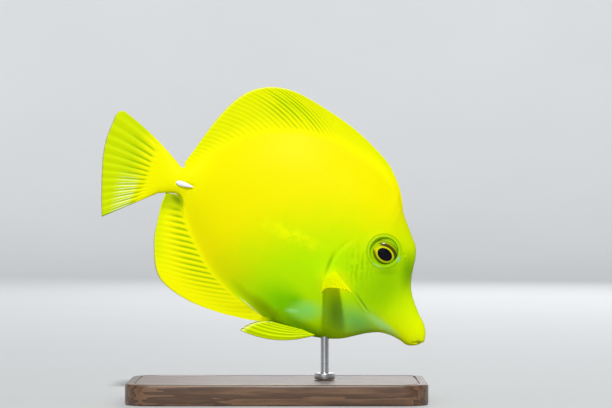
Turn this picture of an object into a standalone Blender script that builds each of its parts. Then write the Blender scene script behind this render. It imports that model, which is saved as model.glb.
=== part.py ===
"""A yellow tang (Zebrasoma flavescens) as a still, life-size display model on a plain stand.

The fish is modelled level, its head towards +X, its back towards +Z and its right side towards -Y,
and is then pitched nose down on an empty. All sizes are in metres. The origin is the centre of the
underside of the stand, so the model rests on the plane z = 0.
"""
import bpy
import bmesh
import numpy as np
from math import cos, pi, radians, sin
from mathutils import Vector

MM = 0.001

# How the fish hangs over its stand
PITCH = radians(28)
FISH_X = 5 * MM
FISH_Z = 68.5 * MM
GAP = 0.3 * MM

# Profile of the body without its fins, tail to snout, as (x, z) in millimetres
BACK = ((-51, 1.2), (-47.6, 0.0), (-45.4, 2.4), (-42.6, 6.4), (-38.8, 12), (-34.9, 17.3), (-31.8, 21.4),
        (-28.3, 25.1), (-24.9, 28.0), (-20.5, 31), (-14.5, 34.1), (-6, 36.6), (2, 37.3), (8, 37.1),
        (15.6, 36.5), (23.4, 34.6), (31.2, 30.4), (38.2, 23.6), (44.1, 18.4), (47.2, 15.6),
        (49.2, 11.8), (50.3, 7.9), (51.9, 3.1), (54, -0.7), (57, -3.9), (60.5, -6.9), (64.4, -9.8),
        (66.3, -12.1), (67.5, -15.2))
BELLY = ((-51, -13.2), (-47.6, -11.2), (-45.2, -10.3), (-42.1, -10.9), (-40.4, -13.4), (-35.1, -18.7),
         (-30.6, -22.4), (-25.6, -25.9), (-19.5, -29.8), (-13.7, -32.2), (-6, -34.5), (4, -36.1),
         (15.6, -36.8), (23.4, -35.6), (29.3, -34), (34, -32.2), (39, -29.4), (42.9, -26.1),
         (46.8, -22.9), (50.7, -20.6), (54.6, -19.7), (58.5, -19.6), (62.6, -19.9), (65.1, -18.6),
         (66.6, -17), (67.5, -15.9))
# Half of the body's greatest width and how pointed its section is, as (x, value)
HALF_WIDTH = ((-51, 2.1), (-46, 2.5), (-40, 3.4), (-32, 4.9), (-22, 6.6), (-12, 7.9), (0, 9), (12, 9.6),
              (22, 9.5), (30, 8.9), (35, 8.2), (40, 7.3), (45, 6.2), (50, 4.9), (55, 3.9), (60, 3.3),
              (64, 2.7), (66.3, 1.9), (67.5, 0.9))
FULLNESS = ((-51, 0.5), (-40, 0.6), (-20, 0.7), (20, 0.7), (38, 0.6), (50, 0.5), (67.5, 0.5))
WIDEST_SHARE = 0.47
FIN_EDGE_HALF = 0.95 * MM
BARE_EDGE_HALF = 0.45 * MM
EDGE_NARROWS = (34 * MM, 46 * MM)
# Where the sections of the body lie: from x, to x, number of steps
SECTIONS = ((67.4, 64, 4), (64, 36, 11), (36, -28, 15), (-28, -40, 4), (-40, -51, 9))
SECTION_ROWS = 16
# The tail swings to the left behind this place, by this much at the end of its fin
SWING_START = 8 * MM
SWING_END = -80 * MM
TAIL_SWING = 7 * MM

# Outlines of the fins that stand on the profile, and where their roots begin and end
DORSAL_ROOT = (36.4, -47.0)
DORSAL_MARGIN = ((35.2, 27.4), (31.2, 32.4), (27.3, 35.9), (23.4, 38.7), (15.6, 41.8), (4, 44.9),
                 (-8, 46.4), (-16, 46.9), (-23.4, 46.7), (-29.3, 45.2), (-35.1, 42), (-39, 38),
                 (-41.7, 33.2), (-43.7, 27.3), (-46, 15.6), (-47.0, 7.6), (-47.9, 2.4))
DORSAL_SWEEP = ((0, 0), (0.1, 0.18), (0.2, 0.34), (0.3, 0.49), (0.4, 0.59), (0.5, 0.662), (0.6, 0.737),
                (0.7, 0.812), (0.8, 0.888), (0.9, 0.955), (1, 1))
DORSAL_RAYS = 29
ANAL_ROOT = (7.0, -41.8)
ANAL_MARGIN = ((5, -39.6), (2, -40.6), (-4.1, -42.1), (-10.4, -43.6), (-15.8, -44.4), (-21.2, -44.8),
               (-27.3, -44.5), (-31.7, -43.7), (-34.9, -42.6), (-37.8, -40.4), (-40.3, -37.3),
               (-42.7, -33.2), (-44.9, -28.7), (-46.3, -24.1), (-47.5, -20), (-48.4, -16.5),
               (-48.7, -12.9))
ANAL_SWEEP = ((0, 0), (0.05, 0.24), (0.1, 0.37), (0.2, 0.505), (0.3, 0.58), (0.5, 0.693), (0.7, 0.806),
              (0.9, 0.928), (1, 1))
ANAL_RAYS = 23
CAUDAL_MARGIN = ((-66.7, -32), (-70.4, -25.4), (-74.7, -17), (-77.8, -10.2), (-79.8, -3.2),
                 (-80.5, 3.2), (-80.5, 6.6), (-79.3, 9.1))
CAUDAL_RAYS = 16
# How far the first and the last ray of each fin arch, as a share of their length
DORSAL_BOW = (0.06, 0.06)
ANAL_BOW = (-0.06, 0.06)
CAUDAL_BOW = (0.0, 0.03)
PECTORAL_BOW = (0.0, 0.0)
PELVIC_BOW = (-0.1, 0.0)
# The share of a ray over which a fin thins from its root to its membrane, and how steeply
PROFILE_FADE = 0.5
CAUDAL_FADE = 0.55
PAIRED_FADE = 0.45
FADE_POWER = 1.5
RAY_RISE = 3
ROOT_SAMPLES = 160
RAY_RELIEF = 0.22 * MM
MEMBRANE_HALF = 0.27 * MM

# Paired fins, given for the left side: root and margin as (x, y, z)
PECTORAL_ROOT = ((19.4, 7.6, -7.6), (19, 7.8, -11.4), (19.2, 7.6, -15.2))
PECTORAL_MARGIN = ((32.4, 34.5, -11.4), (30, 34.6, -13.4), (26.4, 31.4, -15.6), (23.4, 27, -17),
                   (21, 22.5, -17.8))
PECTORAL_RAYS = 15
PECTORAL_ROOT_HALF = 0.95 * MM
PELVIC_ROOT = ((29.2, 1.3, -33), (26.4, 1.6, -33.4), (23.4, 1.9, -33.8))
PELVIC_MARGIN = ((2, 5.4, -45.2), (4.2, 4.9, -41.6), (7, 4.2, -39), (10.4, 3.6, -37.3))
PELVIC_RAYS = 6
PELVIC_ROOT_HALF = 0.8 * MM

# Head: eye, orbit, gill opening, mouth and nostrils
EYE_X = 37.4 * MM
EYE_Z = 7.8 * MM
EYE_RADIUS = 5.5 * MM
EYE_DEPTH = 3.3 * MM
EYE_BULGE = 1.0 * MM
ORBIT_RADIUS = 6.2 * MM
ORBIT_RIM = 0.75 * MM
GILL_LINE = ((39.6, 26.5), (36.6, 21.8), (31.5, 15.4), (26.2, 9.4), (23.3, 4), (21.6, -2), (21.1, -8),
             (22, -14), (25, -18.8), (31, -23), (37, -26.2), (40.6, -30.6))
GILL_SLIT = (0.27, 0.8)
GILL_GROOVE = 0.55 * MM
CHEEK_LINE = ((34.4, -11), (38.6, -13.6), (43, -16))
CHEEK_GROOVE = 0.35 * MM
CHEEK_STEPS = 6
GILL_STEPS = 14
ORBIT_STEPS = 28
KNIFE_REACH = 30 * MM
MOUTH_CORNER = (63.7, -18.2)
MOUTH_FRONT = (67.6, -16.2)
MOUTH_GROOVE = 0.32 * MM
LIP_RADIUS = 0.75 * MM
LIP_INSET = 0.3 * MM
LIP_STEPS = 4
LIP_CURVE = 1.6
LIP_FRONT_SHARE = 0.35
SNOUT_END = 66.6 * MM
NOSTRILS = ((44.6, 10.6, 0.6), (46.1, 9.2, 0.42))
NOSTRIL_LIFT = 0.8 * MM
NOSTRIL_DEPTH = 0.9 * MM

# Spine on each side of the tail stalk
SPINE_REAR = (-47.2, -6.2)
SPINE_TIP = (-40.1, -4.7)
SPINE_HALF_HEIGHT = 0.83 * MM
SPINE_HALF_THICKNESS = 0.7 * MM
SPINE_TAPER = 0.45
STALK_FRONT = -36

# Stand
BASE_LENGTH = 116 * MM
BASE_WIDTH = 60 * MM
BASE_HEIGHT = 8 * MM
BASE_CORNER = 10 * MM
BASE_EDGE = 1 * MM
ROD_X = 13.5 * MM
ROD_RADIUS = 1.6 * MM
ROD_TOP = 31 * MM
COLLAR_RADIUS = 4 * MM
COLLAR_HEIGHT = 2.4 * MM

SKIN = ((0.93, 0.88, 0.02), 0.38, 0.0)
FIN = ((0.86, 0.88, 0.03), 0.42, 0.0)
EYE = ((0.02, 0.02, 0.03), 0.12, 0.0)
SPINE = ((0.93, 0.92, 0.88), 0.35, 0.0)
WOOD = ((0.16, 0.08, 0.04), 0.4, 0.0)
STEEL = ((0.62, 0.62, 0.64), 0.28, 1.0)


def clear_scene():
    """Remove every object, so that the script can be run again."""
    for item in list(bpy.data.objects):
        bpy.data.objects.remove(item, do_unlink=True)


def make_material(name, look):
    """A plain surface from its colour, roughness and metallic value."""
    colour, roughness, metallic = look
    material = bpy.data.materials.new(name)
    material.use_nodes = True
    surface = material.node_tree.nodes["Principled BSDF"]
    surface.inputs["Base Color"].default_value = (*colour, 1)
    surface.inputs["Roughness"].default_value = roughness
    surface.inputs["Metallic"].default_value = metallic
    return material


def smooth_path(knots, steps=10):
    """Closely spaced points, in metres, of a smooth curve through knots in millimetres."""
    points = np.array(knots, float) * MM
    spans = np.diff(points, axis=0)
    lengths = np.linalg.norm(spans, axis=1)[:, None]
    slopes = spans / lengths
    inner = (slopes[:-1] * lengths[1:] + slopes[1:] * lengths[:-1]) / (lengths[:-1] + lengths[1:])
    tangents = np.vstack([slopes[:1], inner, slopes[-1:]])
    t = np.linspace(0, 1, steps, endpoint=False)[:, None]
    rows = []
    for i, length in enumerate(lengths):
        rows.append((2 * t**3 - 3 * t**2 + 1) * points[i] + (t**3 - 2 * t**2 + t) * length * tangents[i]
                    + (3 * t**2 - 2 * t**3) * points[i + 1] + (t**3 - t**2) * length * tangents[i + 1])
    return np.vstack(rows + [points[-1:]])


def height_over_x(knots):
    """The curve through the knots, read as a height over x."""
    path = smooth_path(knots)
    return lambda x: float(np.interp(x, path[:, 0], path[:, 1]))


def along(path):
    """A path read by the share of its length."""
    steps = np.linalg.norm(np.diff(path, axis=0), axis=1)
    shares = np.concatenate([[0], np.cumsum(steps)]) / steps.sum()
    axes = range(path.shape[1])
    return lambda share: np.array([np.interp(share, shares, path[:, axis]) for axis in axes])


back_z = height_over_x(BACK)
belly_z = height_over_x(BELLY)
widest = height_over_x(HALF_WIDTH)
fullness_path = smooth_path(FULLNESS)


def fullness(x):
    """Exponent of the section at x: 0.5 is an ellipse, and more is sharper at back and belly."""
    return float(np.interp(x, fullness_path[:, 0], fullness_path[:, 1] / MM))


def midline(x):
    """How far the middle plane of the fish lies to the left at x."""
    return TAIL_SWING * max(0.0, (SWING_START - x) / (SWING_START - SWING_END)) ** 2


def edge_half(x):
    """Half width of the body's edge: wide enough for a fin's root, and narrow on the bare head."""
    wide, narrow = EDGE_NARROWS
    share = min(1.0, max(0.0, (x - wide) / (narrow - wide)))
    return FIN_EDGE_HALF + (BARE_EDGE_HALF - FIN_EDGE_HALF) * share


def half_width(x, share):
    """Half width of the body at x, at a share of its height from belly to back."""
    level = share ** (np.log(0.5) / np.log(WIDEST_SHARE))
    bulge = max(0.0, 1 - (2 * level - 1) ** 2) ** fullness(x)
    edge = edge_half(x)
    return edge + max(0.0, widest(x) - edge) * bulge


def flank(x, z):
    """Half width of the body at a place on its side."""
    bottom = belly_z(x)
    share = (z - bottom) / (back_z(x) - bottom)
    return half_width(x, min(1.0, max(0.0, share)))


def sections():
    """Where the sections of the body lie, snout to tail."""
    places = []
    for start, end, count in SECTIONS:
        places += [start + (end - start) * i / count for i in range(count)]
    return [place * MM for place in places + [SECTIONS[-1][1]]]


section_places = sections()


def facet_edge(curve):
    """The straight-sided edge that the body's sections make of a smooth one."""
    xs = section_places[::-1]
    zs = [curve(x) for x in xs]
    return lambda x: float(np.interp(x, xs, zs))


def link(mesh_object):
    """Put a new object into the collection of the model."""
    parts.objects.link(mesh_object)
    return mesh_object


def solid_from(mesh, name):
    """Turn a bmesh into an object of the model, with its faces pointing outwards."""
    mesh.normal_update()
    bmesh.ops.recalc_face_normals(mesh, faces=mesh.faces)
    data = bpy.data.meshes.new(name)
    mesh.to_mesh(data)
    mesh.free()
    return link(bpy.data.objects.new(name, data))


def closed_shell(name, right, left):
    """One closed mesh from two matching grids of points, split alike on both faces."""
    mesh = bmesh.new()
    grids = [[[mesh.verts.new(point) for point in row] for row in grid] for grid in (right, left)]
    near, far = grids
    rows, columns = len(near), len(near[0])
    for i in range(rows - 1):
        for j in range(columns - 1):
            for grid in grids:
                a, b, c, d = grid[i][j], grid[i][j + 1], grid[i + 1][j + 1], grid[i + 1][j]
                mesh.faces.new((a, b, c) if grid is near else (a, c, b))
                mesh.faces.new((a, c, d) if grid is near else (a, d, c))
    rim = [(i, 0) for i in range(rows)] + [(rows - 1, j) for j in range(1, columns)]
    rim += [(i, columns - 1) for i in range(rows - 2, -1, -1)]
    rim += [(0, j) for j in range(columns - 2, 0, -1)]
    for (i, j), (k, m) in zip(rim, rim[1:] + rim[:1]):
        mesh.faces.new((near[i][j], near[k][m], far[k][m], far[i][j]))
    return solid_from(mesh, name)


def apply_modifiers(target):
    """Replace an object's mesh by what its modifiers make of it."""
    bpy.context.view_layer.update()
    shaped = target.evaluated_get(bpy.context.evaluated_depsgraph_get())
    data = bpy.data.meshes.new_from_object(shaped)
    target.modifiers.clear()
    old = target.data
    target.data = data
    bpy.data.meshes.remove(old)


def join_or_cut(target, operation, pieces):
    """Join pieces to the target, or cut them out of it, and remove the pieces."""
    group = bpy.data.collections.new("tools")
    bpy.context.scene.collection.children.link(group)
    for piece in pieces:
        for home in list(piece.users_collection):
            home.objects.unlink(piece)
        group.objects.link(piece)
        piece.hide_render = True
        piece.display_type = "WIRE"
    step = target.modifiers.new(operation.title(), "BOOLEAN")
    step.operation = operation
    step.operand_type = "COLLECTION"
    step.collection = group
    apply_modifiers(target)
    for piece in pieces:
        bpy.data.objects.remove(piece, do_unlink=True)
    bpy.data.collections.remove(group)


def combine(target, operation, pieces):
    """Join or cut, and keep only the target's largest closed surface."""
    join_or_cut(target, operation, pieces)
    keep_largest(target)
    return target


def surfaces(mesh):
    """The closed surfaces of a bmesh, each a set of its vertices, largest first."""
    left = set(mesh.verts)
    found = []
    while left:
        reached = [left.pop()]
        island = set(reached)
        while reached:
            vertex = reached.pop()
            for link_edge in vertex.link_edges:
                other = link_edge.other_vert(vertex)
                if other not in island:
                    island.add(other)
                    reached.append(other)
        left -= island
        found.append(island)
    return sorted(found, key=spread, reverse=True)


def spread(island):
    """Length of the diagonal of the box round a set of vertices."""
    points = np.array([vertex.co for vertex in island])
    return float(np.linalg.norm(points.max(axis=0) - points.min(axis=0)))


def keep_largest(target):
    """Drop the loose scraps that a cut or a join may leave."""
    mesh = bmesh.new()
    mesh.from_mesh(target.data)
    for island in surfaces(mesh)[1:]:
        bmesh.ops.delete(mesh, geom=list(island), context="VERTS")
    mesh.to_mesh(target.data)
    mesh.free()


def body_shell(name, swell=0.0):
    """The whole body without fins, lofted through its sections, or grown by swell all round."""
    right, left = [], []
    for x in section_places:
        bottom = belly_z(x) - swell
        top = back_z(x) + swell
        sides = ([], [])
        for row in range(SECTION_ROWS + 1):
            share = (1 - cos(pi * row / SECTION_ROWS)) / 2
            width = half_width(x, share) + swell
            for side, points in zip((-1, 1), sides):
                points.append(Vector((x, midline(x) + side * width, bottom + (top - bottom) * share)))
        right.append(sides[0])
        left.append(sides[1])
    return closed_shell(name, right, left)


def ribbon_knife(knots):
    """A thin upright wall along a line on the flank, as wide as the gap between two nodes."""
    line = [Vector((x, 0, z)) for x, z in smooth_path(knots, steps=2)]
    reach = Vector((0, KNIFE_REACH, 0))
    right, left = [], []
    for i, point in enumerate(line):
        run = line[min(i + 1, len(line) - 1)] - line[max(i - 1, 0)]
        across = Vector((-run.z, 0, run.x)).normalized() * GAP / 2
        right.append([point - across - reach, point - across + reach])
        left.append([point + across - reach, point + across + reach])
    return closed_shell("knife", right, left)


def tube(points, radius, sides=6, cyclic=False):
    """A round bar along points, as a mesh with welded ends."""
    curve = bpy.data.curves.new("tube", "CURVE")
    curve.dimensions = "3D"
    curve.bevel_depth = radius
    curve.bevel_resolution = (sides - 4) // 2
    curve.use_fill_caps = not cyclic
    spline = curve.splines.new("POLY")
    spline.points.add(len(points) - 1)
    for spot, point in zip(spline.points, points):
        spot.co = (*point, 1)
    spline.use_cyclic_u = cyclic
    bar = link(bpy.data.objects.new("tube", curve))
    bpy.context.view_layer.update()
    data = bpy.data.meshes.new_from_object(bar.evaluated_get(bpy.context.evaluated_depsgraph_get()))
    mesh = bmesh.new()
    mesh.from_mesh(data)
    bmesh.ops.remove_doubles(mesh, verts=mesh.verts, dist=0.01 * MM)
    bpy.data.objects.remove(bar, do_unlink=True)
    return solid_from(mesh, "tube")


def on_flank(x, z, side, lift=0.0):
    """A point on the skin of one side of the body."""
    return Vector((x, midline(x) + side * (flank(x, z) + lift), z))


def eyeball(name, side, swell=0.0):
    """A flattened ball that bulges a little from the head and looks slightly forwards."""
    mesh = bmesh.new()
    bmesh.ops.create_uvsphere(mesh, u_segments=24, v_segments=12, radius=1)
    surface = flank(EYE_X, EYE_Z)
    for vertex in mesh.verts:
        x, z, depth = vertex.co
        vertex.co = (EYE_X + x * (EYE_RADIUS + swell),
                     side * (surface + EYE_BULGE - EYE_DEPTH + depth * (EYE_DEPTH + swell)),
                     EYE_Z + z * (EYE_RADIUS + swell))
    return solid_from(mesh, name)


def orbit_rim(side):
    """The raised rim round the eye, laid on the skin."""
    spots = [2 * pi * i / ORBIT_STEPS for i in range(ORBIT_STEPS)]
    ring = [on_flank(EYE_X + ORBIT_RADIUS * cos(a), EYE_Z + ORBIT_RADIUS * sin(a), side) for a in spots]
    return tube(ring, ORBIT_RIM, cyclic=True)


def mouth_bar(radius, drop):
    """A bar round the snout along the mouth, lowered by drop."""
    (corner_x, corner_z), (front_x, front_z) = MOUTH_CORNER, MOUTH_FRONT
    points = []
    for step in range(-LIP_STEPS, LIP_STEPS + 1):
        share = abs(step) / LIP_STEPS
        x = (front_x + (corner_x - front_x) * share ** LIP_CURVE) * MM
        z = (front_z + (corner_z - front_z) * share ** LIP_CURVE) * MM - drop
        side = (step > 0) - (step < 0)
        out = LIP_FRONT_SHARE + (1 - LIP_FRONT_SHARE) * share
        points.append(Vector((x - LIP_INSET, side * out * flank(min(x, SNOUT_END), z), z)))
    return tube(points, radius)


def nostril(x, z, radius, side):
    """A small round pit in front of the eye."""
    start = on_flank(x * MM, z * MM, side, NOSTRIL_LIFT)
    end = on_flank(x * MM, z * MM, side, -NOSTRIL_DEPTH)
    return tube([start, end], radius * MM, sides=8)


def make_head(head):
    """Orbit rims and lips are joined to the head, then sockets, slits and pits are cut."""
    lips = [mouth_bar(LIP_RADIUS, -LIP_RADIUS), mouth_bar(LIP_RADIUS, LIP_RADIUS)]
    combine(head, "UNION", [orbit_rim(side) for side in (-1, 1)] + lips)
    cuts = [mouth_bar(MOUTH_GROOVE, 0)]
    cheek = along(smooth_path(CHEEK_LINE))
    for side in (-1, 1):
        cuts.append(eyeball("socket", side, GAP))
        fold = [on_flank(*cheek(i / CHEEK_STEPS), side) for i in range(CHEEK_STEPS + 1)]
        cuts.append(tube(fold, CHEEK_GROOVE))
        cuts += [nostril(x, z, radius, side) for x, z, radius in NOSTRILS]
    combine(head, "DIFFERENCE", cuts)


def gill_slits():
    """Bars along the hind edge of each gill cover, which cut the visible opening."""
    line = along(smooth_path(GILL_LINE))
    start, end = GILL_SLIT
    shares = [start + (end - start) * i / GILL_STEPS for i in range(GILL_STEPS + 1)]
    return [tube([on_flank(*line(share), side) for share in shares], GILL_GROOVE) for side in (-1, 1)]


def part_body():
    """Model the body whole and part it with thin cuts into head, trunk and tail stalk."""
    body = body_shell("body")
    reach = KNIFE_REACH / MM
    stalk_knife = ribbon_knife(((STALK_FRONT, -reach), (STALK_FRONT, 0), (STALK_FRONT, reach)))
    join_or_cut(body, "DIFFERENCE", [ribbon_knife(GILL_LINE), stalk_knife])
    pieces = {}
    for name, rank in (("head", 0), ("trunk", 1), ("tail_stalk", 2)):
        mesh = bmesh.new()
        mesh.from_mesh(body.data)
        islands = sorted(surfaces(mesh)[:3], key=lambda island: -np.mean([v.co.x for v in island]))
        kept = islands[rank]
        bmesh.ops.delete(mesh, geom=[v for v in mesh.verts if v not in kept], context="VERTS")
        pieces[name] = solid_from(mesh, name)
    bpy.data.objects.remove(body, do_unlink=True)
    return pieces


def sweep_of(knots):
    """How far along the margin the ray that starts at a share of the root ends."""
    table = np.array(knots, float)
    return lambda share: float(np.interp(share, table[:, 0], table[:, 1]))


def ray_surface(root, margin, sweep, bow):
    """The middle surface of a fin: share a along its root and share b out along a ray."""
    def point(a, b):
        start = Vector(root(a))
        span = Vector(margin(sweep(a))) - start
        bend = bow[0] + (bow[1] - bow[0]) * a
        arch = Vector((span.z, 0, -span.x)) * bend * 4 * b * (1 - b)
        return start + span * b + arch
    return point


def fin(name, surface, half, rays, rows):
    """A thin fin with its rays raised in both faces: every second column is a ray."""
    columns = 2 * rays
    shares = [column / columns for column in range(columns + 1)]
    middle = [[surface(a, row / rows) for row in range(rows + 1)] for a in shares]
    right, left = [], []
    for i, column in enumerate(middle):
        before, after = middle[max(i - 1, 0)], middle[min(i + 1, columns)]
        sides = ([], [])
        for j, point in enumerate(column):
            across = after[j] - before[j]
            outward = column[min(j + 1, rows)] - column[max(j - 1, 0)]
            normal = outward.cross(across).normalized()
            thick = half(shares[i], j / rows)
            if i % 2 == 0:
                thick += RAY_RELIEF * min(1.0, RAY_RISE * j / rows)
            sides[0].append(point - normal * thick)
            sides[1].append(point + normal * thick)
        right.append(sides[0])
        left.append(sides[1])
    return closed_shell(name, right, left)


def tapered(root_half, fade):
    """Half thickness of a membrane that thins from its root to an even margin."""
    return lambda a, b: MEMBRANE_HALF + (root_half - MEMBRANE_HALF) * max(0.0, 1 - b / fade) ** FADE_POWER


def profile_fin(name, edge, root, margin_knots, sweep_knots, rays, rows, bow, sign):
    """A fin along the back or the belly, whose root follows the body's edge at the gap."""
    start, end = root
    facets = facet_edge(edge)
    line = np.array([(x, facets(x)) for x in np.linspace(start, end, ROOT_SAMPLES) * MM])
    runs = np.gradient(line, axis=0)
    outward = np.column_stack([-runs[:, 1], runs[:, 0]]) / np.linalg.norm(runs, axis=1)[:, None]
    outward *= sign * GAP
    root_line = along(line + outward)
    margin_line = along(smooth_path(margin_knots))

    def placed(line_at):
        def spot(share):
            x, z = line_at(share)
            return (x, midline(x), z)
        return spot
    surface = ray_surface(placed(root_line), placed(margin_line), sweep_of(sweep_knots), bow)
    return fin(name, surface, tapered(FIN_EDGE_HALF, PROFILE_FADE), rays, rows)


def caudal_fin():
    """The tail fin, whose scaly root carries on from the end of the stalk."""
    x = SECTIONS[-1][1] * MM
    bottom, top = belly_z(x), back_z(x)
    margin_line = along(smooth_path(CAUDAL_MARGIN))

    def root(share):
        return (x - GAP, midline(x - GAP), bottom + (top - bottom) * share)

    def margin(share):
        end_x, end_z = margin_line(share)
        return (end_x, midline(end_x), end_z)

    def half(a, b):
        return tapered(half_width(x, a), CAUDAL_FADE)(a, b)
    surface = ray_surface(root, margin, lambda share: share, CAUDAL_BOW)
    return fin("caudal_fin", surface, half, CAUDAL_RAYS, 8)


def paired_fin(name, side, root_knots, margin_knots, root_half, rays, bow, envelope):
    """A fin on one flank: it starts under the skin and is cut clear of the body by the gap."""
    mirror = np.array((1, side, 1))
    root = along(smooth_path(root_knots) * mirror)
    margin = along(smooth_path(margin_knots) * mirror)
    surface = ray_surface(root, margin, lambda share: share, bow)
    made = fin(name, surface, tapered(root_half, PAIRED_FADE), rays, 7)
    body = link(envelope.copy())
    body.data = envelope.data.copy()
    return combine(made, "DIFFERENCE", [body])


def tail_spine(name, side, swell=0.0):
    """The white spine, a blade that points forwards and lies in a pocket of the stalk."""
    rear = Vector((SPINE_REAR[0], 0, SPINE_REAR[1])) * MM
    tip = Vector((SPINE_TIP[0], 0, SPINE_TIP[1])) * MM
    run = (tip - rear).normalized()
    rise = Vector((-run.z, 0, run.x))
    centre = (rear + tip) / 2
    half_length = (tip - rear).length / 2 + swell
    mesh = bmesh.new()
    bmesh.ops.create_uvsphere(mesh, u_segments=12, v_segments=8, radius=1)
    for vertex in mesh.verts:
        up, out, ahead = vertex.co
        taper = 1 - SPINE_TAPER * ahead
        spot = centre + run * ahead * half_length + rise * up * taper * (SPINE_HALF_HEIGHT + swell)
        place = on_flank(spot.x, centre.z, side)
        vertex.co = (spot.x, place.y + side * out * taper * (SPINE_HALF_THICKNESS + swell), spot.z)
    return solid_from(mesh, name)


def stand_base():
    """A low block with round corners and a softened upper edge."""
    mesh = bmesh.new()
    bmesh.ops.create_cube(mesh, size=1)
    for vertex in mesh.verts:
        x, y, z = vertex.co
        vertex.co = (x * BASE_LENGTH, y * BASE_WIDTH, (z + 0.5) * BASE_HEIGHT)
    rises = {edge: abs(edge.verts[0].co.z - edge.verts[1].co.z) for edge in mesh.edges}
    upright = [edge for edge, rise in rises.items() if rise > BASE_HEIGHT / 2]
    bmesh.ops.bevel(mesh, geom=upright, offset=BASE_CORNER, segments=6, affect="EDGES", profile=0.5)
    upper = [edge for edge in mesh.edges if min(v.co.z for v in edge.verts) > BASE_HEIGHT - GAP]
    bmesh.ops.bevel(mesh, geom=upper, offset=BASE_EDGE, segments=2, affect="EDGES", profile=0.5)
    return solid_from(mesh, "stand_base")


def post(name, radius, bottom, top, sides=24):
    """An upright round bar at the place of the rod."""
    mesh = bmesh.new()
    bmesh.ops.create_cone(mesh, cap_ends=True, segments=sides, radius1=radius, radius2=radius,
                          depth=top - bottom)
    for vertex in mesh.verts:
        vertex.co += Vector((FISH_X + ROD_X, 0, (top + bottom) / 2))
    return solid_from(mesh, name)


clear_scene()
parts = bpy.data.collections.new("yellow_tang")
bpy.context.scene.collection.children.link(parts)
pose = link(bpy.data.objects.new("fish_pose", None))
pose.location = (FISH_X, 0, FISH_Z)
pose.rotation_euler = (0, PITCH, 0)

nodes = part_body()
combine(nodes["head"], "DIFFERENCE", gill_slits())
combine(nodes["trunk"], "DIFFERENCE", gill_slits())
make_head(nodes["head"])
combine(nodes["tail_stalk"], "DIFFERENCE", [tail_spine("pocket", side, GAP) for side in (-1, 1)])

nodes["dorsal_fin"] = profile_fin("dorsal_fin", back_z, DORSAL_ROOT, DORSAL_MARGIN, DORSAL_SWEEP,
                                  DORSAL_RAYS, 8, DORSAL_BOW, -1)
nodes["anal_fin"] = profile_fin("anal_fin", belly_z, ANAL_ROOT, ANAL_MARGIN, ANAL_SWEEP,
                                ANAL_RAYS, 7, ANAL_BOW, 1)
nodes["caudal_fin"] = caudal_fin()
envelope = body_shell("envelope", GAP)
for side_name, side in (("right", -1), ("left", 1)):
    nodes["eye_" + side_name] = eyeball("eye_" + side_name, side)
    nodes["tail_spine_" + side_name] = tail_spine("tail_spine_" + side_name, side)
    nodes["pectoral_fin_" + side_name] = paired_fin("pectoral_fin_" + side_name, side, PECTORAL_ROOT,
                                                    PECTORAL_MARGIN, PECTORAL_ROOT_HALF, PECTORAL_RAYS,
                                                    PECTORAL_BOW, envelope)
    nodes["pelvic_fin_" + side_name] = paired_fin("pelvic_fin_" + side_name, side, PELVIC_ROOT,
                                                  PELVIC_MARGIN, PELVIC_ROOT_HALF, PELVIC_RAYS,
                                                  PELVIC_BOW, envelope)
bpy.data.objects.remove(envelope, do_unlink=True)

skin = make_material("skin", SKIN)
membrane = make_material("fin_membrane", FIN)
eye_look = make_material("eye", EYE)
spine_look = make_material("spine", SPINE)
for name, node in nodes.items():
    node.parent = pose
    look = membrane if "fin" in name else skin
    look = eye_look if name.startswith("eye") else look
    look = spine_look if "spine" in name else look
    node.data.materials.clear()
    node.data.materials.append(look)

combine(nodes["trunk"], "DIFFERENCE", [post("socket", ROD_RADIUS + GAP, 0, ROD_TOP + GAP)])
base = stand_base()
rod = post("stand_rod", ROD_RADIUS, BASE_HEIGHT + GAP, ROD_TOP)
collar_foot = BASE_HEIGHT + GAP
combine(rod, "UNION", [post("collar", COLLAR_RADIUS, collar_foot, collar_foot + COLLAR_HEIGHT)])
base.data.materials.append(make_material("stand_wood", WOOD))
rod.data.materials.append(make_material("stand_steel", STEEL))
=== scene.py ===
# %% [markdown]
# # A yellow tang on its display stand
# A yellow tang is a disc-shaped reef fish with a long snout, and museums show it as a still model on a
# short rod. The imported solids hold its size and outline, so they are loaded first and stay fixed as a
# frame. Everything below lays a finer skin, fins, eyes and stand over them.

# %% Load the frame
from math import cos, pi, radians, sin, sqrt

import bpy
import numpy as np
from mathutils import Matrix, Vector
from numpy.linalg import norm


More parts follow.
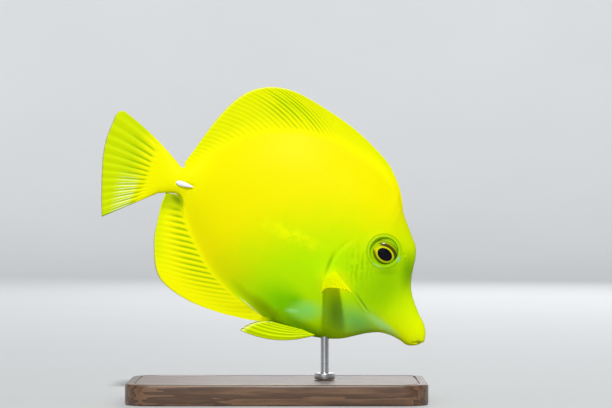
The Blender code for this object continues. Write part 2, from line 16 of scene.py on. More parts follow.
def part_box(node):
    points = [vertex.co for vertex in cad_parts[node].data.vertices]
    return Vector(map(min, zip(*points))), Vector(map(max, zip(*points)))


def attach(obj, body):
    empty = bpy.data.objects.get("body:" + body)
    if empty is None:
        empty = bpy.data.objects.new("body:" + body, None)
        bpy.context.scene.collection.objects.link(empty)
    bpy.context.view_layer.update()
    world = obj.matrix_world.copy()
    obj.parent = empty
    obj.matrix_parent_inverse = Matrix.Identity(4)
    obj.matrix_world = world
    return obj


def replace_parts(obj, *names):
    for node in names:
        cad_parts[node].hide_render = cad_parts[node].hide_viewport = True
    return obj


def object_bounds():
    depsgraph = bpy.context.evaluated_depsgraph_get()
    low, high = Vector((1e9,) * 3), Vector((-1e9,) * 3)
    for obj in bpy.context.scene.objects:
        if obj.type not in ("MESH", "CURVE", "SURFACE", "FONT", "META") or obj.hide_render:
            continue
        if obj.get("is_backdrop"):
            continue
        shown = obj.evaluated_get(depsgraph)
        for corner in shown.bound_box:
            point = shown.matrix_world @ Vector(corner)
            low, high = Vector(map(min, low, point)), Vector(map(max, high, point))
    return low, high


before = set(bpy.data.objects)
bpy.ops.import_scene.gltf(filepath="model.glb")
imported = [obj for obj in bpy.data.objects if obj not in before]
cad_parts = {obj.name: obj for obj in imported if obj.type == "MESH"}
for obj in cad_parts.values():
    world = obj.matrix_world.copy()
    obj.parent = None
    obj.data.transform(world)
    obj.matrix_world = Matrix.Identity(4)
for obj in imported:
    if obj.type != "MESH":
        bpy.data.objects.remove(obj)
cad_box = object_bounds()
scene = bpy.context.scene
MM = 0.001
print("solids in the frame:", len(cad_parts))

# %% [markdown]
# ## Studio
# The photo shows the fish broadside, so the camera looks straight along +Y with a long lens, worked out
# from the width of the view at the fish. A round bowl of pale card serves as floor and backdrop, because
# it has no corner from any side. The key light is a slightly soft sun halfway up behind the camera, as
# over a reef tank. Two weak soft boxes and a pale sky fill the shadows.

# %% Camera
VIEW_WIDTH = 238.7 * MM
VIEW_CENTRE = Vector((11.2, 0, 76.6)) * MM
CAMERA_DISTANCE = 1.0
lens = bpy.data.cameras.new("camera")
lens.sensor_width = 36
lens.lens = lens.sensor_width * CAMERA_DISTANCE / VIEW_WIDTH
lens.clip_start, lens.clip_end = 0.01, 20
camera = bpy.data.objects.new("camera", lens)
scene.collection.objects.link(camera)
camera.location = VIEW_CENTRE - Vector((0, CAMERA_DISTANCE, 0))
camera.rotation_euler = (radians(90), 0, 0)
scene.camera = camera
scene.view_settings.view_transform = "Standard"
print("lens", round(lens.lens, 1), "mm")

# %% Lights
def lamp(name, kind, energy, place=(0, 0, 0)):
    """A light of a kind, at its place."""
    light = bpy.data.objects.new(name, bpy.data.lights.new(name, kind))
    light.data.energy = energy
    light.location = place
    scene.collection.objects.link(light)
    return light


FISH_MIDDLE = Vector((0.01, 0, 0.075))
SUN_HEIGHT = radians(45)
BOX_SIZE = 0.9
sun = lamp("key", "SUN", 2.45)
sun.data.angle = radians(5)
sun.rotation_euler = (pi / 2 - SUN_HEIGHT, 0, 0)
for name, place, watts in (("fill", (-0.25, -1.3, 0.25), 2), ("back_fill", (0.3, 1.2, 0.7), 5)):
    softbox = lamp(name, "AREA", watts, place)
    softbox.data.size = BOX_SIZE
    softbox.rotation_euler = (FISH_MIDDLE - softbox.location).to_track_quat("-Z", "Y").to_euler()
scene.world = bpy.data.worlds.new("soft_sky")
scene.world.use_nodes = True
sky = scene.world.node_tree.nodes["Background"].inputs
sky["Color"].default_value = (0.93, 0.97, 1, 1)
sky["Strength"].default_value = 0.32

# %% Helpers for modelling
def only(*items):
    """Select these objects alone, and make the first one active."""
    bpy.ops.object.select_all(action="DESELECT")
    for item in items:
        item.select_set(True)
    bpy.context.view_layer.objects.active = items[0]


def edit(item, mode="FACE"):
    """Open a piece in edit mode with nothing selected."""
    only(item)
    bpy.ops.object.mode_set(mode="EDIT")
    bpy.ops.mesh.select_mode(type=mode)
    bpy.ops.mesh.select_all(action="DESELECT")


def pick(item, wanted, kind="polygons"):
    """In edit mode, select the faces, edges or vertices that pass the test."""
    bpy.ops.object.mode_set(mode="OBJECT")
    for part in getattr(item.data, kind):
        part.select = wanted(part)
    bpy.ops.object.mode_set(mode="EDIT")


def leave():
    """Back to object mode."""
    bpy.ops.object.mode_set(mode="OBJECT")


def add(shape, name, location=(0, 0, 0), **settings):
    """Add a primitive with nothing else selected, and name it and its mesh."""
    bpy.ops.object.select_all(action="DESELECT")
    getattr(bpy.ops.mesh, f"primitive_{shape}_add")(location=location, **settings)
    item = bpy.context.active_object
    item.name = item.data.name = name
    return item


def settle(item):
    """Put an object's place, turn and scale into its mesh."""
    only(item)
    bpy.ops.object.transform_apply()


def shade(item, angle=None):
    """Shade smooth all over, or only across edges flatter than an angle in degrees."""
    only(item)
    if angle is None:
        bpy.ops.object.shade_smooth()
    else:
        bpy.ops.object.shade_smooth_by_angle(angle=radians(angle))


def face_out(item):
    """Merge points that touch, turn all faces outwards and shade smooth."""
    edit(item, "VERT")
    bpy.ops.mesh.select_all(action="SELECT")
    bpy.ops.mesh.remove_doubles(threshold=WELD_GAP)
    bpy.ops.mesh.normals_make_consistent()
    leave()
    shade(item)


WELD_GAP = 0.001 * MM
SIDES = (("right", -1), ("left", 1))

# %% Floor
FLOOR_RADIUS = 2.2
WALL_BEND = 1.2
BEND_STEPS = 10
floor = add("circle", "floor", vertices=96, radius=FLOOR_RADIUS)
edit(floor, "EDGE")
bpy.ops.mesh.select_all(action="SELECT")
for step in range(1, BEND_STEPS + 1):
    before, now = (step - 1) / BEND_STEPS * pi / 2, step / BEND_STEPS * pi / 2
    out = (FLOOR_RADIUS + WALL_BEND * sin(now)) / (FLOOR_RADIUS + WALL_BEND * sin(before))
    bpy.ops.mesh.extrude_region_move(
        TRANSFORM_OT_translate={"value": (0, 0, WALL_BEND * (cos(before) - cos(now)))})
    bpy.ops.transform.resize(value=(out, out, 1))
pick(floor, lambda edge: all(abs(floor.data.vertices[i].co.z) < MM for i in edge.vertices), "edges")
bpy.ops.mesh.edge_face_add()
bpy.ops.mesh.select_all(action="SELECT")
bpy.ops.mesh.normals_make_consistent(inside=True)
leave()
shade(floor, 12)
floor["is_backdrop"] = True
print("floor faces", len(floor.data.polygons))

# %% [markdown]
# ## Shader wiring
# Each finish is a small sum of masks and patterns. Written as Python expressions they stay readable, so
# one class wraps a socket and turns + - * / into Math nodes. Every pattern on the fish is read in its own
# level frame, in millimetres, which a Mapping node makes from the object's coordinates.

# %% Wires
def operator(operation):
    """A Python operator that becomes a Math node."""
    return lambda self, other: self.maths(operation, other)


class Wire:
    """A shader socket that can be used in sums like a number."""

    def __init__(self, look, socket):
        self.look = look
        self.socket = socket

    def maths(self, operation, *others):
        return self.look.node("Math", {"operation": operation}, dict(enumerate((self, *others))))

    __add__ = __radd__ = operator("ADD")
    __sub__ = operator("SUBTRACT")
    __mul__ = __rmul__ = operator("MULTIPLY")
    __truediv__ = operator("DIVIDE")
    __pow__ = operator("POWER")

    def __rsub__(self, other):
        return self.look.node("Math", {"operation": "SUBTRACT"}, {0: other, 1: self})

    def step(self, low, high):
        """0 below low and 1 above high, with a soft change between them; low may be the larger."""
        first, last = (0, 1) if low < high else (1, 0)
        return self.look.node("MapRange", {"interpolation_type": "SMOOTHSTEP"},
                              {"Value": self, "From Min": min(low, high), "From Max": max(low, high),
                               "To Min": first, "To Max": last})


print("made", Wire)

# %% Looks
class Look:
    """A material that is being wired up."""

    def __init__(self, name, **constants):
        self.material = bpy.data.materials.new(name)
        self.material.use_nodes = True
        self.tree = self.material.node_tree
        self.surface = self.tree.nodes["Principled BSDF"]
        for socket, value in constants.items():
            self.surface.inputs[socket.replace("_", " ")].default_value = value

    def feed(self, socket, value):
        if isinstance(value, Wire):
            self.tree.links.new(value.socket, socket)
        elif socket.type == "RGBA":
            socket.default_value = (*value, 1)
        else:
            socket.default_value = value

    def node(self, kind, settings=None, values=None, out=0):
        """Add a node, set it up, feed its sockets and return one of its outputs."""
        made = self.tree.nodes.new("ShaderNode" + kind)
        for name, value in (settings or {}).items():
            setattr(made, name, value)
        for key, value in (values or {}).items():
            self.feed(made.inputs[key], value)
        return Wire(self, made.outputs[out])

    def mix(self, share, first, second):
        """Make the colour from two others."""
        self.colour = self.node("Mix", {"data_type": "RGBA"}, {0: share, 6: first, 7: second}, 2)

    def paint(self, share, tone):
        """Lay a tone over the colour so far."""
        self.mix(share, self.colour, tone)

    def place(self, centre=(0, 0, 0), turn=(0, 0, 0), unit=MM):
        """Object coordinates read from a centre, level with a turn, in a unit."""
        where = self.node("TexCoord", out=3)
        return self.node("Mapping", {"vector_type": "TEXTURE"},
                         {"Vector": where, "Location": centre, "Rotation": turn, "Scale": (unit,) * 3})

    def axes(self, vector):
        made = self.node("SeparateXYZ", {}, {0: vector})
        return [Wire(self, output) for output in made.socket.node.outputs]

    def noise(self, vector, scale, detail=2, rough=0.5):
        values = {"Vector": vector, "Scale": scale, "Detail": detail, "Roughness": rough}
        return self.node("TexNoise", {}, values)

    def stretched(self, vector, scale):
        return self.node("VectorMath", {"operation": "MULTIPLY"}, {0: vector, 1: scale})

    def bump(self, height, depth, strength, under=None):
        values = {"Height": height, "Distance": depth, "Strength": strength}
        if under is not None:
            values["Normal"] = under
        return self.node("Bump", {}, values)

    def done(self, **varying):
        """Feed the colour, and what else varies, to the surface."""
        for socket, value in {"Base_Color": self.colour, **varying}.items():
            self.feed(self.surface.inputs[socket.replace("_", " ")], value)
        return self.material


def dress(items, material):
    """Give pieces a material."""
    for item in items:
        item.data.materials.clear()
        item.data.materials.append(material)


print("made", Look)

# %% Pale card
card = Look("pale_card", Roughness=0.75)
mottle = card.noise(card.place(unit=1), 5, 3)
card.mix(mottle, (0.58, 0.59, 0.6), (0.62, 0.63, 0.64))
dress([floor], card.done())
print("looks so far", len(bpy.data.materials))

# %% [markdown]
# ## The body's outline
# The profile of the body, its width and the edges of the fins are knots of smooth curves, in millimetres,
# in a level frame whose x runs towards the head. They are the values that the solids were made from, so
# skin and solids agree without fitting. Only the ends of the anal fin, the upper corner of the tail, the
# paired fins and the eyes are moved a little, to meet the photo.

# %% Outline of the body
PITCH = radians(28)
FISH_PLACE = (5 * MM, 0, 68.5 * MM)
BACK = ((-51, 1.2), (-47.6, 0), (-45.4, 2.4), (-42.6, 6.4), (-38.8, 12), (-34.9, 17.3), (-31.8, 21.4),
    (-28.3, 25.1), (-24.9, 28), (-20.5, 31), (-14.5, 34.1), (-6, 36.6), (2, 37.3), (8, 37.1),
    (15.6, 36.5), (23.4, 34.6), (31.2, 30.4), (38.2, 23.6), (44.1, 18.4), (47.2, 15.6), (49.2, 11.8),
    (50.3, 7.9), (51.9, 3.1), (54, -0.7), (57, -3.9), (60.5, -6.9), (64.4, -9.8), (66.3, -12.1),
    (67.5, -15.2))
BELLY = ((-51, -13.2), (-47.6, -11.2), (-45.2, -10.3), (-42.1, -10.9), (-40.4, -13.4), (-35.1, -18.7),
    (-30.6, -22.4), (-25.6, -25.9), (-19.5, -29.8), (-13.7, -32.2), (-6, -34.5), (4, -36.1),
    (15.6, -36.8), (23.4, -35.6), (29.3, -34), (34, -32.2), (39, -29.4), (42.9, -26.1), (46.8, -22.9),
    (50.7, -20.6), (54.6, -19.7), (58.5, -19.6), (62.6, -19.9), (65.1, -18.6), (66.6, -17), (67.5, -15.9))
HALF_WIDTH = ((-51, 2.1), (-46, 2.5), (-40, 3.4), (-32, 4.9), (-22, 6.6), (-12, 7.9), (0, 9), (12, 9.6),
    (22, 9.5), (30, 8.9), (35, 8.2), (40, 7.3), (45, 6.2), (50, 4.9), (55, 3.9), (60, 3.3), (64, 2.7),
    (66.3, 1.9), (67.5, 0.9))
FULLNESS = ((-51, 0.5), (-40, 0.6), (-20, 0.7), (20, 0.7), (38, 0.6), (50, 0.5), (67.5, 0.5))
WIDEST_SHARE = 0.47
print("knots of the body", len(BACK) + len(BELLY))

# %% Outlines of the fins
DORSAL_ROOT = (36.4, -47)
DORSAL_MARGIN = ((35.2, 27.4), (31.2, 32.4), (27.3, 35.9), (23.4, 38.7), (15.6, 41.8), (4, 44.9),
    (-8, 46.4), (-16, 46.9), (-23.4, 46.7), (-29.3, 45.2), (-35.1, 42), (-39, 38), (-41.7, 33.2),
    (-43.7, 27.3), (-46, 15.6), (-47, 7.6), (-47.9, 2.4))
DORSAL_SWEEP = ((0, 0.1, 0.2, 0.3, 0.4, 0.5, 0.6, 0.7, 0.8, 0.9, 1),
                (0, 0.18, 0.34, 0.49, 0.59, 0.662, 0.737, 0.812, 0.888, 0.955, 1))
ANAL_ROOT = (11.2, -43.8)
ANAL_MARGIN = ((9.6, -37.9), (5, -39.6), (2, -40.6), (-4.1, -42.1), (-10.4, -43.6), (-15.8, -44.4),
    (-21.2, -44.8), (-27.3, -44.5), (-31.7, -43.7), (-34.9, -42.6), (-37.8, -40.4), (-40.3, -37.3),
    (-42.7, -33.2), (-44.9, -28.7), (-46.3, -24.1), (-47.5, -20), (-48.4, -16.5), (-48.9, -11.8))
ANAL_SWEEP = ((0, 0.05, 0.1, 0.2, 0.3, 0.5, 0.7, 0.9, 1), (0, 0.24, 0.37, 0.5, 0.57, 0.68, 0.793, 0.92, 1))
CAUDAL_ROOT = -51.3
CAUDAL_MARGIN = ((-66.7, -32), (-70.4, -25.4), (-74.7, -17), (-77.8, -10.2), (-79.8, -3.2), (-80.5, 3.2),
    (-80.7, 6.4), (-79.9, 8.2), (-78.2, 8.8))
CAUDAL_RIDGES = 13
FIN_BOW = 0.06
ANAL_BOW = ((0, 0.85, 1), (-0.06, 0.04, 0.12))
CAUDAL_BOW = 0.03
print("knots of the fins", len(DORSAL_MARGIN) + len(ANAL_MARGIN) + len(CAUDAL_MARGIN))

# %% Curves through knots
def smooth_path(knots, steps=10):
    """Closely spaced points of a smooth curve through knots."""
    points = np.array(knots, float)
    spans = np.diff(points, axis=0)
    lengths = norm(spans, axis=1)[:, None]
    slopes = spans / lengths
    inner = (slopes[:-1] * lengths[1:] + slopes[1:] * lengths[:-1]) / (lengths[:-1] + lengths[1:])
    tangents = np.vstack([slopes[:1], inner, slopes[-1:]])
    t = np.linspace(0, 1, steps, endpoint=False)[:, None]
    rows = []
    for i, length in enumerate(lengths):
        rows.append((2 * t**3 - 3 * t**2 + 1) * points[i] + (t**3 - 2 * t**2 + t) * length * tangents[i]
                    + (3 * t**2 - 2 * t**3) * points[i + 1] + (t**3 - t**2) * length * tangents[i + 1])
    return np.vstack(rows + [points[-1:]])


def lengths_along(path):
    """How far along a path each of its points lies."""
    return np.concatenate([[0], np.cumsum(norm(np.diff(path, axis=0), axis=1))])


def read(path, places, at):
    """A path's columns, read at given places along it."""
    return np.stack([np.interp(at, places, path[:, k]) for k in range(path.shape[1])], axis=-1)


def read_share(path, share):
    """Points at shares of a path's length."""
    places = lengths_along(path)
    return read(path, places, np.asarray(share) * places[-1])


def cut(path, start, end):
    """The part of a path between two places along x, in the order asked for."""
    low, high = sorted((start, end))
    inside = path[(path[:, 0] > low) & (path[:, 0] < high)]
    ends = [[x, np.interp(x, *path.T)] for x in (low, high)]
    points = np.vstack([ends[:1], inside, ends[1:]])
    return points if start < end else points[::-1]


def smooth(value, low, high):
    """0 below low and 1 above high, with a soft change between them."""
    share = np.clip((np.asarray(value, float) - low) / (high - low), 0, 1)
    return share * share * (3 - 2 * share)


def hump(distance, width):
    """A smooth bump over a distance."""
    return np.exp(-(distance / width) ** 2)


def ridges(ray):
    """1 on every ray and 0 halfway between two."""
    return 0.5 + 0.5 * np.cos(2 * pi * ray)


def rounded(share):
    """From 0 at a rim to 1, steep at first."""
    return 1 - (1 - share) ** 2


back, belly = smooth_path(BACK), smooth_path(BELLY)
width_path, fullness_path = smooth_path(HALF_WIDTH), smooth_path(FULLNESS)
print("profile", round(lengths_along(back)[-1]), "mm over the back")

# %% Thickness of the body and where its middle lies
def back_z(x):
    return np.interp(x, *back.T)


def belly_z(x):
    return np.interp(x, *belly.T)


def height_share(x, z):
    """0 at the belly and 1 at the back."""
    return (z - belly_z(x)) / (back_z(x) - belly_z(x))


def swell(x, share):
    """Share of the greatest width at a share of the height: 0 at back and belly."""
    level = np.clip(share, 0, 1) ** (np.log(0.5) / np.log(WIDEST_SHARE))
    fullness = np.interp(x, *fullness_path.T)
    return np.maximum(0, 1 - (2 * level - 1) ** 2) ** fullness


def flank(x, z, edge=0):
    """Half width of the body at a place on its side."""
    widest = np.interp(x, *width_path.T)
    return edge + np.maximum(0, widest - edge) * swell(x, height_share(x, z))


SWING_START = 8
SWING_END = -80
TAIL_SWING = 7


def midline(x):
    """How far the middle plane lies to the fish's left: the tail swings."""
    return TAIL_SWING * np.clip((SWING_START - x) / (SWING_START - SWING_END), 0, None) ** 2


print("greatest width", round(2 * flank(12, 1), 1), "mm")

# %% [markdown]
# ## One skin for body and unpaired fins
# On the real fish the skin runs from the flank into the fins with no seam, so head, trunk, tail and the
# three fins on the outline become one mesh. Sculpting it by hand would lose the even fin rays, so a grid
# primitive is laid by rule instead: each column starts on the lower outline, follows an anal ray up to
# the belly, crosses the flank and leaves along a dorsal ray. Within a fin each ray gets the same number
# of columns, and rows are spaced evenly along the way. A second grid, mirrored, makes the other side.

# %% How the grid is shared out
DORSAL_RIDGES = 46
ANAL_RIDGES = 23
FRONT = 320
REAR = 46
ROWS = 134
dorsal_first = FRONT - 5 * DORSAL_RIDGES
anal_first = FRONT - 8 * ANAL_RIDGES
print("columns before the dorsal fin", dorsal_first, "and before the anal fin", anal_first)

# %% Where each column starts and ends
SNOUT_CROWD = 1.2


def fin_layout(curve, root_ends, knots, sweep, first, fan):
    """For each front column: where its ray starts and ends, and its share of the fin."""
    root, margin = cut(curve, *root_ends), smooth_path(knots)
    path = np.vstack([root[:1], margin, root[-1:]])
    start, end = norm(margin[0] - root[0]), norm(margin[-1] - root[-1])
    share = np.clip((np.arange(FRONT + 1) - first) / (FRONT - first), 0, 1)
    at = start * np.clip(share / fan[0], 0, 1) + lengths_along(margin)[-1] * np.interp(share, *sweep)
    at += end * np.clip((share - 1 + fan[1]) / fan[1], 0, 1)
    bases, tips = read_share(root, share), read(path, lengths_along(path), at)
    bare = cut(curve, curve[-1, 0], root_ends[0])
    bases[:first] = tips[:first] = read_share(bare, (np.arange(first) / first) ** SNOUT_CROWD)
    return bases, tips, share


DORSAL_FAN = (0.03, 0.04)
ANAL_FAN = (0.04, 0.07)
dorsal_root, dorsal_tip, dorsal_share = fin_layout(back, DORSAL_ROOT, DORSAL_MARGIN, DORSAL_SWEEP,
                                                   dorsal_first, DORSAL_FAN)
anal_root, anal_tip, anal_share = fin_layout(belly, ANAL_ROOT, ANAL_MARGIN, ANAL_SWEEP, anal_first, ANAL_FAN)
print("longest rays", [round(float(norm(tips - bases, axis=1).max()), 1) for bases, tips in
                       ((dorsal_root, dorsal_tip), (anal_root, anal_tip))], "mm")

# %% Thickness of a fin
MEMBRANE_HALF = 0.26
MARGIN_TAPER = 1.4
RAY_STEPS = 60
PROFILE_FADE = 0.5
FADE_POWER = 1.5
FIRST_RIDGES = (4, 14)
RIDGE_RISE = (0.02, 0.3)
RIDGE_SINK = (0.55, 0.85)


def fin_half(share, out, length, edge, ray, relief):
    """Half thickness of a fin: thins from its root, thicker at its rays, thin at its margin."""
    membrane = MEMBRANE_HALF * min(1, length / 2)
    thick = membrane + (edge - membrane) * np.clip(1 - share / PROFILE_FADE, 0, 1) ** FADE_POWER
    ridge = ridges(ray) * smooth(ray, *FIRST_RIDGES)
    ridge = ridge * smooth(share, *RIDGE_RISE) * (1 - 0.6 * smooth(share, *RIDGE_SINK))
    thick = thick + relief * ridge * min(1, length / 5)
    left = np.clip((length - out) / min(MARGIN_TAPER, length / 2), 0, 1)
    return thick * rounded(left)


def ray_points(root, tip, bow, edge, ray, relief):
    """Points (x, half thickness, z) from a fin's root to its margin."""
    span = tip - root
    length = float(norm(span))
    share = np.linspace(0, 1, RAY_STEPS)
    arch = np.array([span[1], -span[0]]) * bow
    flat = root + share[:, None] * span + (4 * share * (1 - share))[:, None] * arch
    half = fin_half(share, share * length, length, edge, ray, relief)
    return np.column_stack([flat[:, 0], half, flat[:, 1]])


print("membrane", 2 * MEMBRANE_HALF, "mm thick")

# %% One column of the front
RAY_RELIEF = 0.2
EDGE_HALF = 0.95
EASE = 5
FLESH_STEPS = 160
ANAL_REACH = 0.3
DORSAL_REACH = 0.1
END_REACH = 0.12
ROOT_MELT = 0.93
SNOUT_ROUND = 1.6


def front_column(i):
    """All points of a column, belly fin to back fin, with their ray attributes."""
    lower, upper = anal_root[i], dorsal_root[i]
    anal_length = norm(anal_tip[i] - lower)
    dorsal_length = norm(dorsal_tip[i] - upper)
    melt = [float(smooth(share, 0, reach) * smooth(1 - share, 0, END_REACH))
            for share, reach in ((anal_share[i], ANAL_REACH), (dorsal_share[i], DORSAL_REACH))]
    edges = [max(EDGE_HALF * min(1, 1.6 * some), MEMBRANE_HALF * min(1, length / 3))
             for some, length in zip(melt, (anal_length, dorsal_length))]
    t = (1 - np.cos(np.linspace(0, pi, FLESH_STEPS))) / 2
    height = norm(upper - lower)
    x, z = lower[:, None] + (upper - lower)[:, None] * t
    edge = edges[0] * (1 - t) ** 6 + edges[1] * t ** 6
    snout = min(1, norm(upper - dorsal_root[0]) / SNOUT_ROUND)
    half = flank(x, z, edge) * sqrt(rounded(snout))
    soft = melt[0] * np.exp(-t * height / EASE) + melt[1] * np.exp((t - 1) * height / EASE)
    half = edge + (half - edge) * (1 - ROOT_MELT * np.minimum(1, soft))
    half[0], half[-1] = edges
    body = np.column_stack([x, half, z])
    parts = []
    anal_ray, dorsal_ray = anal_share[i] * ANAL_RIDGES, dorsal_share[i] * DORSAL_RIDGES
    if anal_length > 0.01:
        bow = np.interp(anal_share[i], *ANAL_BOW)
        parts.append(ray_points(lower, anal_tip[i], bow, edges[0], anal_ray, RAY_RELIEF)[:0:-1])
    parts.append(body)
    if dorsal_length > 0.01:
        relief = RAY_RELIEF * (0.4 + 0.4 * float(hump(dorsal_ray - 26, 9)))
        parts.append(ray_points(upper, dorsal_tip[i], FIN_BOW, edges[1], dorsal_ray, relief)[1:])
    path = np.vstack(parts)
    places = lengths_along(path)
    before = RAY_STEPS - 1 if anal_length > 0.01 else 0
    belly_at, back_at = places[before], places[before + FLESH_STEPS - 1]
    at = np.linspace(0, places[-1], ROWS + 1)
    points = read(path, places, at)
    points[[0, -1], 1] = 0
    fins = ((dorsal_ray, at - back_at, dorsal_length), (anal_ray, belly_at - at, anal_length))
    return points, *[np.column_stack([0 * at + ray, out, out / max(length, 1)]) for ray, out, length in fins]


front = [front_column(i) for i in range(FRONT + 1)]
print("front columns", len(front), "with", ROWS + 1, "points each")

# %% [markdown]
# Behind the last fin column the grid carries on: its rows run along the tail stalk and become the rays of
# the tail fin. The rows start where the last flank column left them and even out on the way. The tail's
# ridges take fewer rows low down and more near the top, where the photo shows them wider apart.

# %% Rows of the tail
STALK_COLUMNS = 10
CAUDAL_CROWD = 0.35
CAUDAL_CORNER = 0.05
last = front[-1][0]
last_share = np.clip(height_share(last[:, 0], last[:, 2]), 0, 1)
even_share = np.linspace(0, 1, ROWS + 1)
root_low, root_high = belly_z(CAUDAL_ROOT), back_z(CAUDAL_ROOT)
root_z = root_low + (root_high - root_low) * even_share
root_half = flank(np.full(ROWS + 1, CAUDAL_ROOT), root_z)
caudal_tip = read_share(smooth_path(CAUDAL_MARGIN), even_share)
tip_span = caudal_tip - np.column_stack([np.full(ROWS + 1, CAUDAL_ROOT), root_z])
caudal_length = norm(tip_span, axis=1)
corner = np.clip(np.minimum(even_share, 1 - even_share) / CAUDAL_CORNER, 0, 1)
edge_round = np.sqrt(rounded(corner))
caudal_ray = CAUDAL_RIDGES * (even_share * (1 + CAUDAL_CROWD) - CAUDAL_CROWD * even_share ** 2)
caudal_ridge = ridges(caudal_ray) ** 1.3
print("longest tail ray", round(caudal_length.max(), 1), "mm")

# %% Columns of the tail
CAUDAL_FADE = 0.55
CAUDAL_RISE = (0.15, 0.45)
rear = []
for step in range(1, REAR + 1):
    if step <= STALK_COLUMNS:
        share = step / STALK_COLUMNS
        x = last[:, 0] + (CAUDAL_ROOT - last[:, 0]) * share
        place = last_share + (even_share - last_share) * share
        z = belly_z(x) + (back_z(x) - belly_z(x)) * place
        half = flank(x, z)
        out = x - CAUDAL_ROOT
        out_share = 0 * x
    else:
        share = (step - STALK_COLUMNS) / (REAR - STALK_COLUMNS)
        arch = 4 * share * (1 - share) * CAUDAL_BOW * even_share
        x = CAUDAL_ROOT + tip_span[:, 0] * share + tip_span[:, 1] * arch
        z = root_z + tip_span[:, 1] * share - tip_span[:, 0] * arch
        flesh = root_half * max(0, 1 - share / CAUDAL_FADE) ** FADE_POWER
        left = np.clip(caudal_length * (1 - share) / MARGIN_TAPER, 0, 1)
        web = (MEMBRANE_HALF + 1.1 * RAY_RELIEF * caudal_ridge * smooth(share, *CAUDAL_RISE)) * edge_round
        half = np.maximum(flesh, 0) + web * rounded(left) * smooth(share, 0, 0.12)
        out = -caudal_length * share
        out_share = np.full(ROWS + 1, share)
    half[[0, -1]] = 0
    rear.append((np.column_stack([x, half, z]), np.column_stack([caudal_ray, -out, out_share])))
points = np.array([column[0] for column in front + rear])
no_fin = [[front[-1][k] * (1, 0, 0) - (0, 9, 1)] * REAR for k in (1, 2)]
dorsal_rays = np.array([column[1] for column in front] + no_fin[0])
anal_rays = np.array([column[2] for column in front] + no_fin[1])
caudal_rays = np.array([np.column_stack([caudal_ray, CAUDAL_ROOT - column[0][:, 0], 0 * even_share])
                        for column in front] + [column[1] for column in rear])
print("grid of", points.shape[0], "by", points.shape[1])

# %% [markdown]
# ## Relief of the head
# Gill cover, cheek fold, mouth, nostrils and the pocket of the tail spine are shallow, so they are pushed
# into the finished surface along its normals, as a sculptor would. Each is a profile over the distance
# from a line or a point, faded out at its ends.

# %% Distances and profiles
GILL_LINE = ((39.6, 26.5), (36.6, 21.8), (31.5, 15.4), (26.2, 9.4), (23.3, 4), (21.6, -2), (21.1, -8),
             (22, -14), (25, -18.8), (31, -23), (37, -26.2), (40.6, -30.6))
CHEEK_LINE = ((34.4, -11), (38.6, -13.6), (43, -16))
MOUTH_LINE = ((68.2, -16), (66.6, -16.5), (65, -17.3), (63.7, -18.2))
EYE = (37, 8)
NOSTRILS = ((44.6, 10.6, 0.6), (46.1, 9.2, 0.42))
SPINE_LINE = ((-47.6, -6.3), (-39.6, -4.6))


def from_line(grid, knots, reach):
    """Distance from a line, positive on its left side, and the share along it; 99 out of reach."""
    path = smooth_path(knots, steps=24)
    places = lengths_along(path) / lengths_along(path)[-1]
    flat = grid[..., [0, 2]].reshape(-1, 2)
    near = np.all((flat > path.min(0) - reach) & (flat < path.max(0) + reach), axis=1)
    away = np.full(len(flat), 99.0)
    share = np.zeros(len(flat))
    offsets = flat[near][:, None] - path[None]
    nearest = (offsets ** 2).sum(axis=2).argmin(axis=1)
    run = np.gradient(path, axis=0)[nearest]
    offset = offsets[np.arange(len(nearest)), nearest]
    side = np.sign(run[:, 0] * offset[:, 1] - run[:, 1] * offset[:, 0])
    away[near] = norm(offset, axis=1) * np.where(side == 0, 1, side)
    share[near] = places[nearest]
    return away.reshape(grid.shape[:2]), share.reshape(grid.shape[:2])


def from_point(grid, x, z):
    return np.hypot(grid[..., 0] - x, grid[..., 2] - z)


gill, gill_share = from_line(points, GILL_LINE, 9)
ends = smooth(gill_share, 0.32, 0.4) * smooth(-gill_share, -0.8, -0.6)
relief = ends * (0.2 * np.exp(-np.abs(gill) / 4) * smooth(gill, -0.6, 0.8) - 0.3 * hump(gill + 0.5, 0.8))
cheek, cheek_share = from_line(points, CHEEK_LINE, 5)
ends = smooth(cheek_share, 0, 0.2) * smooth(-cheek_share, -1, -0.75)
relief += ends * (-0.28 * hump(cheek, 0.32) + 0.08 * hump(np.abs(cheek) - 0.9, 0.5))
mouth, mouth_share = from_line(points, MOUTH_LINE, 4)
relief += -0.3 * hump(mouth, 0.28) + 0.12 * hump(np.abs(mouth) - 0.8, 0.5) * smooth(-mouth_share, -1, -0.8)
eye_away = from_point(points, *EYE)
relief += 0.35 * hump(eye_away - 6.4, 1.6) - 1.3 * smooth(-eye_away, -5.75, -5)
for x, z, size in NOSTRILS:
    pit = from_point(points, x, z)
    relief += 0.16 * hump(pit - size * 1.5, 0.35) - 0.55 * hump(pit, size * 0.8)
pocket, pocket_share = from_line(points, SPINE_LINE, 3)
ends = smooth(pocket_share, 0, 0.1) * smooth(-pocket_share, -1, -0.9)
relief += ends * (-0.35 * hump(pocket, 0.9) + 0.06 * hump(np.abs(pocket) - 1.5, 0.5))
relief += 0.7 * hump(from_point(points, 22, -11.2), 4.2)
print("relief from", round(relief.min(), 2), "to", round(relief.max(), 2), "mm")

# %% Push the relief into the surface
def normals_of(grid):
    """Unit normals of a grid of points, pointing to the side where half widths grow."""
    across = np.cross(np.gradient(grid, axis=1), np.gradient(grid, axis=0))
    across /= np.maximum(norm(across, axis=2, keepdims=True), 1e-9)
    return across * np.where(across[..., 1:2].mean() < 0, -1, 1)


outward = normals_of(points)
relief *= smooth(points[..., 1], 0.05, 0.6)
shaped = points + outward * relief[..., None]
shaped[:, [0, -1], 1] = 0
shaped[[0, -1], :, 1] = 0
shaped[..., 1] = np.maximum(shaped[..., 1], 0)
print("thickest", round(2 * shaped[..., 1].max(), 1), "mm")

